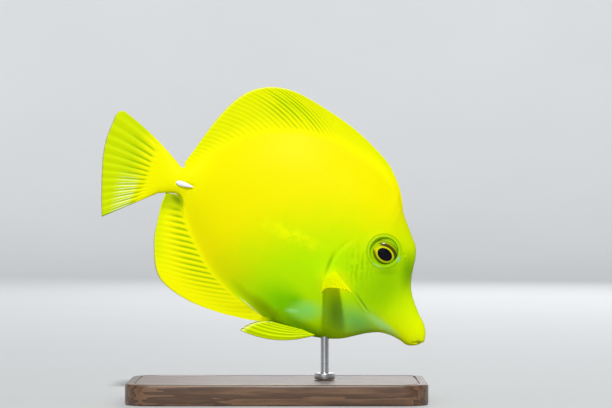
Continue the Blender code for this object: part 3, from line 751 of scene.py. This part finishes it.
# %% [markdown]
# The finished points are laid on two grid primitives, one for each side. They share their outline
# exactly, so merging doubles closes the skin. The pitch of the fish goes into the mesh as well, which
# leaves the object at the origin. The ray numbers stay on the mesh as attributes, for the finish of the
# fins.

# %% Lay grids and weld them
TURN = np.array([[cos(PITCH), 0, sin(PITCH)], [0, 1, 0], [-sin(PITCH), 0, cos(PITCH)]])


def to_world(level):
    """Points of the level fish in millimetres, as places in the row frame."""
    return np.asarray(level) @ TURN.T * MM + np.array(FISH_PLACE)


def laid_grid(name, level, attributes):
    """A grid primitive whose vertices are laid at given points, row for row."""
    columns, rows = level.shape[:2]
    item = add("grid", name, x_subdivisions=columns - 1, y_subdivisions=rows - 1, size=2)
    flat = np.zeros(len(item.data.vertices) * 3, np.float32)
    item.data.vertices.foreach_get("co", flat)
    i, j = np.rint((flat.reshape(-1, 3)[:, :2] + 1) / 2 * (columns - 1, rows - 1)).astype(int).T
    item.data.vertices.foreach_set("co", to_world(level)[i, j].astype(np.float32).ravel())
    for key, values in attributes.items():
        stored = item.data.attributes.new(key, "FLOAT_VECTOR", "POINT")
        stored.data.foreach_set("vector", values[i, j].astype(np.float32).ravel())
    return item


def two_sided(name, near, far, attributes):
    """Two grids that share their rims, welded into one closed piece."""
    item = laid_grid(name, near, attributes)
    other = laid_grid(name + "_far", far, attributes)
    only(item, other)
    bpy.ops.object.join()
    face_out(item)
    return item


near, far = shaped.copy(), shaped.copy()
near[..., 1] = midline(shaped[..., 0]) - shaped[..., 1]
far[..., 1] = midline(shaped[..., 0]) + shaped[..., 1]
skin = two_sided("skin", near, far, {"dorsal": dorsal_rays, "anal": anal_rays, "caudal": caudal_rays})
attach(skin, "root")
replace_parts(skin, "head", "trunk", "tail_stalk", "dorsal_fin", "anal_fin", "caudal_fin")
print("skin faces", len(skin.data.polygons))

# %% [markdown]
# ## Paired fins
# The pectoral fins stand out from the flanks and the pelvic fins lie back under the belly. Each is a thin
# sheet held open by rays, so it is laid like the skin: a middle surface from root to margin, with a
# thickness that shrinks to nothing at the rim and swells at each ray. The membrane also sways a little
# between the rays.

# %% Roots and margins of the paired fins
PECTORAL_ROOT = ((23.7, 7.2, -7.4), (22.8, 7.2, -10.8), (22.6, 7, -14.2))
PECTORAL_MARGIN = ((33.2, 32.5, -11.4), (30.3, 34.5, -11.4), (26.1, 33.5, -12.8), (23.4, 29.5, -14.6),
                   (22.6, 24, -17.6))
PECTORAL_RAYS = 15
PELVIC_ROOT = ((29.2, 1.3, -33), (26.4, 1.6, -33.4), (23.4, 1.9, -33.8))
PELVIC_MARGIN = ((2, 5.4, -45.2), (4.2, 4.9, -41.6), (7.4, 4.2, -38.7), (11.3, 3.6, -36.5))
PELVIC_RAYS = 6
print("rays", 2 * PECTORAL_RAYS, "and", 2 * PELVIC_RAYS)

# %% Thin sheets held open by rays
RAY_COLUMNS = 8
PAIRED_ROWS = 44
NOTCH = 0.018
PAIRED_FADE = 0.45
PAIRED_RISE = (0.02, 0.2)


def paired_fin(name, side, root_knots, margin_knots, rays, bow, root_half, sway):
    """One thin fin on a flank, from its root to its margin."""
    columns = rays * RAY_COLUMNS
    share = np.linspace(0, 1, columns + 1)
    out = np.linspace(0, 1, PAIRED_ROWS + 1)[None, :, None]
    root = read_share(smooth_path(root_knots), share)[:, None, :]
    tip = read_share(smooth_path(margin_knots), share)[:, None, :]
    ray = share * rays
    notch = 1 - NOTCH * (1 - ridges(ray))[:, None, None]
    span = (tip - root) * notch
    bend = (bow[0] + (bow[1] - bow[0]) * share)[:, None, None]
    arch = np.concatenate([span[..., 2:], 0 * span[..., :1], -span[..., :1]], axis=2)
    middle = root + span * out + arch * bend * 4 * out * (1 - out)
    normal = np.cross(np.gradient(middle, axis=0), np.gradient(middle, axis=1))
    normal /= norm(normal, axis=2, keepdims=True)
    way = out[..., 0]
    middle = middle + normal * (sway * np.sin(2 * pi * ray)[:, None] * way ** 1.5)[..., None]
    thin = MEMBRANE_HALF + (root_half - MEMBRANE_HALF) * np.clip(1 - way / PAIRED_FADE, 0, 1) ** FADE_POWER
    half = thin + RAY_RELIEF * ridges(ray)[:, None] ** 1.5 * smooth(way, *PAIRED_RISE)
    rim = np.minimum(np.minimum(share, 1 - share)[:, None] * columns / 4, (1 - way) * PAIRED_ROWS / 4)
    rim = np.minimum(np.clip(rim, 0, 1), np.clip(way * PAIRED_ROWS / 2, 0, 1))
    half = (half * rounded(rim))[..., None]
    flip = np.array((1, side, 1))
    numbers = np.stack([ray[:, None] + 0 * way, way + 0 * ray[:, None], 0 * half[..., 0]], axis=-1)
    item = two_sided(name + "_web", (middle + normal * half) * flip, (middle - normal * half) * flip,
                     {"paired": numbers})
    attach(item, "root")
    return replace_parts(item, name)


print("rows of a sheet", PAIRED_ROWS)

# %% Four paired fins
KINDS = (("pectoral_fin_", PECTORAL_ROOT, PECTORAL_MARGIN, PECTORAL_RAYS, (0, 0), 0.95, 0.12),
         ("pelvic_fin_", PELVIC_ROOT, PELVIC_MARGIN, PELVIC_RAYS, (-0.1, 0), 0.8, 0.1))
paired = [paired_fin(kind[0] + word, side, *kind[1:]) for word, side in SIDES for kind in KINDS]
print("paired fins", [item.name for item in paired])

# %% [markdown]
# ## Eyes
# The eye is a slightly flattened ball that bulges from a low ring of skin. The ball starts as a sphere
# primitive whose pole looks out sideways, squashed along that axis. The ring is a torus, pushed onto the
# flank point by point so that it follows the curve of the face.

# %% Eyeballs
EYE_RADIUS = 5.6
EYE_DEPTH = 3.3
EYE_BULGE = 1.0
eye_middle = float(flank(*EYE)) + EYE_BULGE - EYE_DEPTH
level_turn = (0, PITCH, 0)


def eyeball(word, side):
    """A flattened ball with its pole towards the side."""
    ball = add("uv_sphere", "eyeball_" + word, segments=64, ring_count=40, radius=EYE_RADIUS * MM,
               rotation=(radians(-90) * side, 0, 0))
    settle(ball)
    ball.scale = (1, EYE_DEPTH / EYE_RADIUS, 1)
    ball.rotation_euler = level_turn
    ball.location = to_world((EYE[0], side * eye_middle, EYE[1]))
    settle(ball)
    shade(ball)
    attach(ball, "root")
    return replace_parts(ball, "eye_" + word)


print("middle of each eyeball", round(eye_middle, 1), "mm from the middle plane")

# %% Rings of skin round the eyes
RING_RADIUS = 6.0
RING_HALF = 0.45
RING_LIFT = 0.15
RING_FLAT = 0.9


def orbit_ring(word, side):
    """A ring of skin round the eye, draped on the head."""
    ring = add("torus", "orbit_" + word, major_segments=96, minor_segments=16, major_radius=RING_RADIUS,
               minor_radius=RING_HALF, rotation=(radians(90), 0, 0))
    settle(ring)
    for vertex in ring.data.vertices:
        x, z = EYE[0] + vertex.co.x, EYE[1] + vertex.co.z
        lifted = float(flank(x, z)) + RING_LIFT + RING_FLAT * vertex.co.y
        vertex.co = Vector(to_world((x, side * lifted, z)))
    face_out(ring)
    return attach(ring, "root")


eyes, rings = zip(*[(eyeball(*side), orbit_ring(*side)) for side in SIDES])
print("ring points", [len(ring.data.vertices) for ring in rings])

# %% [markdown]
# ## Tail spines
# A surgeonfish carries one white blade on each side of the tail stalk, folded forwards into a pocket. It
# is a cone-shaped blade with a rounded heel, so a sphere primitive is stretched and narrowed towards its
# front.

# %% Tail spines
SPINE_REAR = np.array((-47.2, -6.2))
SPINE_TIP = np.array((-40.1, -4.7))
SPINE_HALF_HEIGHT = 0.95
SPINE_HALF_THICKNESS = 0.7
SPINE_OUT = ((-48, -40), (2.35, 3.35))


def tail_spine(word, side):
    """A blade that lies along the stalk and points forwards."""
    blade = add("uv_sphere", "spine_blade_" + word, segments=32, ring_count=24, radius=1)
    run = SPINE_TIP - SPINE_REAR
    rise = np.array((-run[1], run[0])) / norm(run)
    centre = (SPINE_REAR + SPINE_TIP) / 2
    for vertex in blade.data.vertices:
        up, out, ahead = vertex.co
        narrow = 1 - 0.5 * ahead
        x, z = centre + run * ahead / 2 + rise * up * narrow * SPINE_HALF_HEIGHT
        y = midline(x) + side * (np.interp(x, *SPINE_OUT) + out * narrow * SPINE_HALF_THICKNESS)
        vertex.co = Vector(to_world((x, y, z)))
    face_out(blade)
    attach(blade, "root")
    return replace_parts(blade, "tail_spine_" + word)


spines = [tail_spine(*side) for side in SIDES]
print("spine points", [len(spine.data.vertices) for spine in spines])

# %% [markdown]
# ## Stand
# The base is a block of oiled walnut with round corners, a softened top edge and a fine line routed round
# its top. The rod is a straight length of brushed steel in a small collar. A workshop would mill and turn
# them, so they start as a cube and a cylinder and are shaped by bevels, insets and an extrusion.

# %% Walnut base
def soften(item, width, segments, angle):
    """Round the edges that bend by more than an angle in degrees, and shade the flat faces flat."""
    rounding = item.modifiers.new("rounding", "BEVEL")
    rounding.width = width
    rounding.segments = segments
    rounding.limit_method = "ANGLE"
    rounding.angle_limit = radians(angle)
    only(item)
    bpy.ops.object.modifier_apply(modifier="rounding")
    shade(item, 35)


LINE_INSET = 3.2 * MM
LINE_DEPTH = 0.5 * MM
LINE_SLOPE = 0.25 * MM
low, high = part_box("stand_base")
base = add("cube", "stand_base_wood", (low + high) / 2, size=1)
base.scale = high - low
settle(base)
edit(base, "EDGE")
pick(base, lambda edge: abs(base.data.vertices[edge.vertices[0]].co.z
                            - base.data.vertices[edge.vertices[1]].co.z) > 4 * MM, "edges")
bpy.ops.mesh.bevel(offset=10 * MM, segments=16, affect="EDGES")
leave()
edit(base)
pick(base, lambda face: face.normal.z > 0.9)
bpy.ops.mesh.inset(thickness=LINE_INSET)
bpy.ops.mesh.inset(thickness=LINE_SLOPE, depth=-LINE_DEPTH)
bpy.ops.mesh.inset(thickness=0.5 * MM)
bpy.ops.mesh.inset(thickness=LINE_SLOPE, depth=LINE_DEPTH)
leave()
soften(base, 0.9 * MM, 4, 75)
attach(base, "root")
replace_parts(base, "stand_base")
print("base", [round(v / MM, 1) for v in high - low], "mm")

# %% Steel rod and collar
low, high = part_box("stand_rod")
rod_x = (low.x + high.x) / 2
ROD_RADIUS = 1.6 * MM
COLLAR_RADIUS = 4 * MM
COLLAR_TOP = 10.7 * MM
rod = add("cylinder", "stand_rod_steel", (rod_x, 0, (COLLAR_TOP + low.z) / 2), vertices=64,
          radius=COLLAR_RADIUS, depth=COLLAR_TOP - low.z)
settle(rod)
edit(rod)
pick(rod, lambda face: face.normal.z > 0.9)
bpy.ops.mesh.inset(thickness=COLLAR_RADIUS - ROD_RADIUS)
bpy.ops.mesh.extrude_region_move(TRANSFORM_OT_translate={"value": (0, 0, high.z - COLLAR_TOP)})
leave()
soften(rod, 0.35 * MM, 3, 60)
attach(rod, "root")
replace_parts(rod, "stand_rod")
print("rod up to", round(high.z / MM, 1), "mm")

# %% [markdown]
# ## Finish of the skin
# The back is a full lemon yellow. Towards the belly it turns lime and then a pale green at the breast,
# and the face is lime with a green cheek. These are soft patches, so each is a blurred ellipse. Some
# patches are painted light instead: painted shade under the pectoral fin, round the eye and along the
# belly, and painted highlights on the breast, under and before the eye and at the anal fin's root. The
# fins alternate bright rays and olive membrane, placed by the ray attributes, with painted shade under
# the tail stalk and on the tail's lower edge, and painted highlights on the fin margins and the tail's
# lower rays. Scales and pores are bump.

# %% Ground colours
YELLOW = (0.865, 0.8, 0)
LIME = (0.46, 0.8, 0)
GREEN = (0.21, 0.61, 0)
FACE = (0.3, 0.58, 0)
SNOUT = (0.74, 0.88, 0)
OLIVE = (0.32, 0.5, 0)


def away(x, z, centre=(0, 0), size=(1, 1), turn=0):
    """0 in the middle of a turned ellipse and 1 on its rim; millimetres, if no size is given."""
    ca, sa = cos(radians(turn)), sin(radians(turn))
    right, up = x - centre[0], z - centre[1]
    along = (right * ca + up * sa) / size[0]
    across = (up * ca - right * sa) / size[1]
    return (along * along + across * across) ** 0.5


def patch(x, z, centre, size, turn=0):
    """1 in the middle of a turned ellipse, falling softly to 0 at its rim."""
    return away(x, z, centre, size, turn).step(1, 0)


hide = Look("tang_skin", Roughness=0.4, Specular_IOR_Level=0.03)
level = hide.place(FISH_PLACE, level_turn)
x, _, z = hide.axes(level)
drift = (hide.noise(level, 0.13, 3) - 0.5) * 9
from_breast = away(x, z, (30, -30)) + drift
hide.mix(from_breast.step(24, 57), LIME, YELLOW)
hide.paint((x - z * 0.3).step(20, 42) * 0.5, (0.4, 0.74, 0))
hide.paint((x - z * 0.5).step(46, 72), SNOUT)
hide.paint(x.step(-34, -44) * 0.8, (0.88, 0.875, 0))
print("ground nodes", len(hide.tree.nodes))

# %% Patches of the flank, some of them painted shade and painted highlights
PATCHES = (
    ((12, -28), (14, 11), 0, 1, GREEN),
    ((15.5, -25), (5, 4), 50, 0.5, (0.12, 0.48, 0)),
    ((43, -2), (21, 12), 73, 1, FACE),
    # painted shade in front of the eye
    ((48.6, 6), (10, 4.5), 108, 0.9, (0.17, 0.38, 0)),
    ((26, -11.5), (10, 8), 10, 1, (0.78, 0.89, 0)),
    ((40, -21), (16, 8.5), 8, 1, (0.21, 0.55, 0.075)),
    # painted shade along the keel under the breast
    ((20, -32.6), (11, 4), -6, 0.7, (0.15, 0.42, 0)),
    ((21, -26.5), (9, 5.6), 28, 0.9, (0.26, 0.76, 0.125)),
    # painted highlight: a small pale glint on the breast
    ((16.4, -29), (4, 1.4), 24, 0.6, (0.42, 0.92, 0.3)),
    ((50, -17.6), (11, 2.4), -8, 0.9, (0.4, 0.8, 0.2)),
    # painted shade: two olive wedges along the belly edge, above the anal fin's root
    ((0, -32.8), (14, 2.6), -17, 0.5, (0.32, 0.46, 0)),
    ((8, -33.4), (13, 3.6), -15, 0.8, (0.22, 0.34, 0)),
    # painted shadow: the band that the pectoral fin casts down the breast
    ((31.5, -21.5), (10.5, 4.6), 118, 0.75, (0.17, 0.36, 0)),
    # painted shade along the belly's lower edge
    ((25, -35), (22, 6.5), 8, 1, (0.15, 0.35, 0)),
    # painted highlight: a pale streak along the root of the anal fin
    ((1.5, -35.4), (7.5, 0.55), -13, 0.9, (0.95, 1, 0.5)),
    ((20.4, -6), (7, 1.2), 96, 0.7, (0.22, 0.44, 0)),
    ((38.6, -13.3), (6.5, 0.5), -27, 0.8, (0.14, 0.28, 0.02)),
    ((38.7, -15.1), (5, 0.4), -25, 0.4, (0.16, 0.3, 0.02)),
    # painted highlight: a whitish glint on the lower rim of the eye
    ((37.2, 1.9), (3.2, 0.6), 0, 0.8, (0.7, 0.95, 0.45)),
    # painted reflection: a pale blue glint at the front of the eye ring
    ((43.4, 8), (0.8, 1.8), 0, 0.9, (0.35, 0.75, 0.8)),
    # painted shade under the eye, below its ring
    ((42.2, 1.6), (6, 2), 28, 0.45, (0.2, 0.42, 0)),
    ((66, -17.2), (3, 1.6), -40, 0.6, (0.34, 0.26, 0.02)),
)
for centre, size, turn, amount, tone in PATCHES:
    hide.paint(patch(x, z, centre, size, turn) * amount, tone)
print("patches", len(PATCHES))

# %% Flecks, eye ring and furrows
wobble = hide.noise(level, 0.3)
hide.paint(wobble.step(0.3, 0.65) * patch(x, z, (1.5, -3.2), (20, 4.6), 5), (0.82, 0.92, 0))
from_eye = away(x, z, EYE)
hide.paint(from_eye.step(7, 6.3) * 0.5, (0.2, 0.5, 0))
hide.paint(from_eye.step(5.6, 6) * from_eye.step(6.5, 6.2) * 0.3, (0.62, 0.95, 0.02))
hide.paint(from_eye.step(6.4, 6.7) * from_eye.step(7.4, 6.8) * 0.45, (0.16, 0.4, 0))
furrow = ((x * 0.9 + z * 0.42) * 3.2 + wobble * 8).maths("SINE") * 0.5 + 0.5
furrow = furrow * wobble.step(0.3, 0.6) * patch(x, z, (32, -2), (8.5, 12.5), 28)
hide.paint(furrow * 0.9, FACE)
print("nodes with flecks and furrows", len(hide.tree.nodes))

# %% Where the fins and their rays are
def rays_of(look, name):
    """Ridge number, millimetres out of the root and share of the ray, from the mesh."""
    return look.axes(look.node("Attribute", {"attribute_name": name}, out=1))


def between(ray, power):
    """1 halfway between two ridges and 0 on them."""
    return (0.5 - (ray * (2 * pi)).maths("COSINE") * 0.5) ** power


TAIL_MIDDLE = 7.6
dorsal, dorsal_out, dorsal_part = rays_of(hide, "dorsal")
anal, anal_out, anal_part = rays_of(hide, "anal")
caudal, _, caudal_part = rays_of(hide, "caudal")
on_anal = anal_out.step(-1.5, 1) * anal.step(0, 0.5)
from_middle = caudal / TAIL_MIDDLE - 1
tail_part = caudal_part - from_middle * from_middle * 0.12
on_tail = tail_part.step(0.3, 0.6)
along_rays = hide.node("CombineXYZ", {}, {0: dorsal * 0.7, 1: dorsal_part * 1.5, 2: caudal_part * 2})
uneven = hide.noise(along_rays, 1.3)
print("nodes that read the rays", len(hide.tree.nodes))

# %% Colours of the fins
hide.paint(dorsal_out.step(-3, 1) * dorsal.step(2, 8), (0.93, 0.9, 0))
hide.paint(dorsal_out.step(1, 9) * 0.85, (0.79, 0.85, 0))
glow = patch(x, z, (-22, 41.4), (11, 3.6), -6) * dorsal_out.step(1, 3)
hide.paint(glow * uneven.step(0.2, 0.6) * 0.7, (0.55, 0.8, 0))
hide.paint(on_anal * 0.9, (0.91, 0.9, 0))
hide.paint(on_anal * anal_part.step(0.6, 1) * anal.step(8, 14) * 0.7, (0.64, 0.8, 0))
# partly painted shade: the last rays of the anal fin, under the tail stalk, are a darker olive
hide.paint(on_anal * anal.step(19, 22), (0.44, 0.56, 0))
hide.paint(on_tail * 0.95, (0.6, 0.75, 0))
print("nodes with fin colours", len(hide.tree.nodes))

# %% Lines between the rays, and painted shade and painted highlights on the fins
ray_lines_and_edge_shade = patch(x, z, (-20, 40), (21, 11), -8) * 1.2 + dorsal.step(14, 22) * 0.25
ray_lines_and_edge_shade = ray_lines_and_edge_shade * dorsal_out.step(-0.5, 2.5) * uneven.step(0.2, 0.6) * between(dorsal, 2.2)
inner = anal_part.step(0.8, 0.3) * (anal.step(4, 11) * 0.75 + 0.2) * anal.step(22, 20.5)
ray_lines_and_edge_shade = ray_lines_and_edge_shade + anal_out.step(0.3, 2.5) * anal.step(0, 0.5) * inner * between(anal, 2)
near_root = tail_part.step(0.25, 0.33) * (1 - tail_part.step(0.4, 0.8) * 0.75) * caudal.step(13, 11)
ray_lines_and_edge_shade = ray_lines_and_edge_shade + near_root * between(caudal, 3) * (uneven * 0.8 + 0.6)
# painted shade: a dark line along the lowest ray of the tail, its shaded lower edge
ray_lines_and_edge_shade = ray_lines_and_edge_shade + caudal_part.step(0.3, 0.5) * caudal.step(0.35, 0.1)
hide.paint(ray_lines_and_edge_shade, OLIVE)
# painted highlight: the rounded fin margins face away from the sun, so they are painted lighter
rim = dorsal_part.step(0.965, 1) + anal_part.step(0.965, 1) + caudal_part.step(0.975, 1)
hide.paint(rim * 0.8, (0.98, 1, 0.2))
# painted highlights: whitish streaks along the ridges of the tail's lower rays
painted_ray_highlights = tail_part.step(0.36, 0.46) * tail_part.step(0.8, 0.6) * caudal.step(7, 4)
hide.paint(painted_ray_highlights * between(caudal * 2, 5) * uneven.step(0.3, 0.6) * 0.9, (0.95, 0.98, 0.62))
# painted shadow: the dark olive shade that the tail stalk casts on the anal fin below it
hide.paint(patch(x, z, (-43.4, -12), (5, 2.4), -17) * 0.9, (0.18, 0.27, 0))
print("nodes with fins", len(hide.tree.nodes))

# %% Scales and pores
cells = hide.node("TexVoronoi", {}, {"Vector": level, "Scale": 2.2})
scales = hide.bump(cells, 0.04 * MM, 0.5)
pores = hide.bump(hide.noise(level, 1.1, 4), 0.08 * MM, 0.5, scales)
dress([skin, *rings], hide.done(Normal=pores))
print("skin nodes", len(hide.tree.nodes))

# %% [markdown]
# The paired fins share the skin's colours, but their rays are read from their own attribute.

# %% Webs of the paired fins
web = Look("fin_web", Roughness=0.4, Specular_IOR_Level=0.03)
ray, out, _ = rays_of(web, "paired")
_, _, height = web.axes(web.place())
web.mix(height.step(40, 44), (0.64, 0.82, 0), (0.86, 0.9, 0))
web.paint(between(ray, 3) * out.step(0.05, 0.4) * 0.4, OLIVE)
web.paint(out.step(0.93, 1) * height.step(44, 40) * 0.8, (0.98, 1, 0.2))
grain = web.bump(web.noise(web.place(FISH_PLACE, level_turn), 2, 4), 0.08 * MM, 0.5)
dress(paired, web.done(Normal=grain))
print("web nodes", len(web.tree.nodes))

# %% [markdown]
# ## Finish of the eyes
# Seen straight on the eye has rings: a black pupil drawn out towards the snout, a thin olive gold rim
# round it, an iris of yellow green that is orange behind and brown above and below, and a dark groove
# outside. All are distances from a middle, and a clear coat makes them wet.

# %% Iris
glass = Look("eye_gloss", Roughness=0.3, Specular_IOR_Level=0.05, Coat_Weight=0.15, Coat_Roughness=0.03)
spot = glass.place(tuple(to_world((EYE[0], 0, EYE[1]))), level_turn)
ex, _, ez = glass.axes(spot)
radius = away(ex, ez)
glass.mix(radius.step(3, 5.2), (0.5, 0.6, 0), (0.34, 0.66, 0))
glass.paint(patch(ex, ez, (-2.9, -1.6), (2, 2.6)), (0.98, 0.8, 0))
glass.paint(patch(ex, ez, (4, -1.6), (1, 2.6)) * 0.6, (0.45, 0.22, 0.02))
streaks = glass.noise(glass.stretched(spot, (1, 1, 3)), 1.5, 4)
glass.paint((streaks - 0.4) * 0.7, (0.12, 0.2, 0))
print("iris nodes", len(glass.tree.nodes))

# %% Pupil and outer groove
pupil = away(ex, ez, (0.8, -0.9), (3.05, 2.25), -8)
above = (ez + ex * 0.35).step(0, 1.6)
below = (ez + ex * 0.25).step(-1.4, -2.8)
glass.paint(pupil.step(2.3, 2.15) * pupil.step(1.9, 2.05) * above * 0.6, (0.14, 0.16, 0))
glass.paint(pupil.step(1.95, 1.7) * above * 0.95, (0.05, 0.03, 0))
glass.paint(pupil.step(1.85, 1.55) * below * 0.85, (0.09, 0.07, 0))
glass.paint(pupil.step(1.36, 1.2) * 0.9, (0.66, 0.7, 0))
glass.paint(pupil.step(1.06, 0.98), (0.001, 0.001, 0.004))
glass.paint(radius.step(4.55, 4.75) * radius.step(5, 4.85) * 0.6, (0.08, 0.22, 0))
glass.paint(radius.step(5.25, 5.55), (0.1, 0.26, 0))
dress(eyes, glass.done())
print("eye nodes", len(glass.tree.nodes))

# %% [markdown]
# ## Spine, wood and steel
# The spine is ivory with a faint growth line. Walnut is long noise along the board with darker pores. The
# steel has fine turning lines round the rod, which are noise stretched along x and y but packed along z.

# %% Ivory spines
ivory = Look("spine_ivory", Roughness=0.3, Coat_Weight=0.3)
grain = ivory.noise(ivory.place(FISH_PLACE, level_turn), 0.8, 3)
ivory.mix(grain, (0.86, 0.84, 0.9), (0.95, 0.95, 0.97))
dress(spines, ivory.done())
print("ivory nodes", len(ivory.tree.nodes))

# %% Oiled walnut
walnut = Look("oiled_walnut", Coat_Weight=0.25, Coat_Roughness=0.2)
board = walnut.place()
rings_of_wood = walnut.noise(walnut.stretched(board, (0.012, 0.16, 0.16)), 1, 4, 0.6)
fibre = walnut.noise(walnut.stretched(board, (0.06, 2.2, 2.2)), 1, 3)
tone = (rings_of_wood * 6).maths("FRACT").step(0.1, 0.9) * 0.6 + fibre * 0.4
walnut.mix(tone * 2, (0.045, 0.02, 0.01), (0.11, 0.052, 0.024))
walnut.paint(tone * 2 - 1, (0.2, 0.105, 0.052))
walnut.done(Roughness=fibre * 0.2 + 0.32, Normal=walnut.bump(fibre, 0.05 * MM, 0.6))
dress([base], walnut.material)
print("walnut nodes", len(walnut.tree.nodes))

# %% Brushed steel
steel = Look("brushed_steel", Metallic=1, Anisotropic=0.3)
turned = steel.noise(steel.stretched(steel.place(), (0.3, 0.3, 14)), 1, 3)
steel.mix(turned, (0.5, 0.5, 0.52), (0.68, 0.68, 0.7))
steel.done(Roughness=turned * 0.2 + 0.2, Normal=steel.bump(turned, 0.02 * MM, 0.5))
dress([rod], steel.material)
print("looks", len(bpy.data.materials))

# %% [markdown]
# ## Size
# The boxes of the solids and of the visual model are printed side by side. The visual model
# has to stay inside the solids' box.

# %% Boxes and finish
shown_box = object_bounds()
for name, box in (("cad", cad_box), ("shown", shown_box)):
    print(name, "box", [[round(v / MM, 1) for v in corner] for corner in box], "mm")
